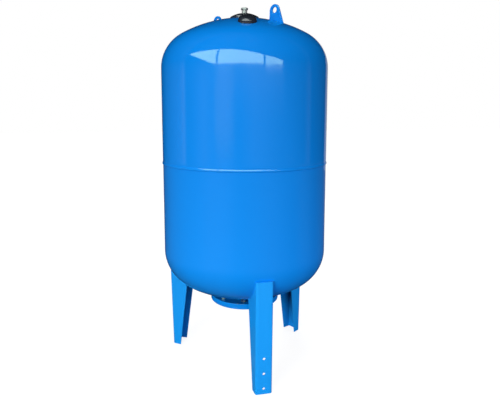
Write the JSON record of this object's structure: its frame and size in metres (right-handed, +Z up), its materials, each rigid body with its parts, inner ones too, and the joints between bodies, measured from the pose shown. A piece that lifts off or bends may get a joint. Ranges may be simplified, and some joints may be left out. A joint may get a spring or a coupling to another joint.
{
  "type": "expansion vessel",
  "caption": "Upright steel expansion vessel: domed half shells on channel legs, inner rubber bladder, bolted bottom flange, water socket, lifting lugs and a capped air valve.",
  "frame": {"origin": "floor level under the vessel's axis", "axes": "+Z up along the vessel's axis, front leg towards -Y, +X to the right seen from the front"},
  "size_m": [0.6414, 0.6416, 1.3794],
  "materials": {
    "blue_paint": "gloss powder coat",
    "black_plastic": "gloss",
    "zinc": "bright zinc plate",
    "brass": "turned",
    "rubber": "matt"
  },
  "bodies": {
    "vessel": {"upper_shell": "blue_paint", "lower_shell": "blue_paint", "girth_weld": "blue_paint", "leg_front": "blue_paint", "leg_right": "blue_paint", "leg_left": "blue_paint", "lifting_lug_right": "blue_paint", "lifting_lug_left": "blue_paint", "vessel_flange": "blue_paint", "counter_flange": "blue_paint", "flange_bolt_1": "zinc", "flange_bolt_2": "zinc", "flange_bolt_3": "zinc", "flange_bolt_4": "zinc", "flange_bolt_5": "zinc", "flange_bolt_6": "zinc", "flange_bolt_7": "zinc", "flange_bolt_8": "zinc", "flange_nut_1": "zinc", "flange_nut_2": "zinc", "flange_nut_3": "zinc", "flange_nut_4": "zinc", "flange_nut_5": "zinc", "flange_nut_6": "zinc", "flange_nut_7": "zinc", "flange_nut_8": "zinc", "water_socket": "zinc", "bladder": "rubber", "top_boss": "blue_paint", "bladder_hanger": "zinc", "hanger_washer": "zinc", "hanger_nut": "zinc", "top_cover": "black_plastic", "top_plug": "zinc", "valve_boss": "blue_paint", "valve_stem": "brass", "valve_core": "brass", "valve_spring": "zinc"},
    "valve_cap": {"valve_cap": "black_plastic"},
    "dust_cap": {"dust_cap": "black_plastic"},
    "valve_pin": {"valve_pin": "brass"}
  },
  "joints": [
    {"name": "valve_cap_pull", "type": "slide", "parent": "vessel", "child": "valve_cap", "axis": [-0.0691, -0.4, 0.9139], "range_m": [0, 0.03]},
    {"name": "dust_cap_pull", "type": "slide", "parent": "vessel", "child": "dust_cap", "axis": [-0.0691, -0.4, 0.9139], "range_m": [0, 0.0036]},
    {"name": "pin_press", "type": "slide", "parent": "vessel", "child": "valve_pin", "axis": [0.0691, 0.4, -0.9139], "range_m": [0, 0.0015], "stiffness_N_per_m": 400, "deforming": ["valve_spring"]}
  ]
}
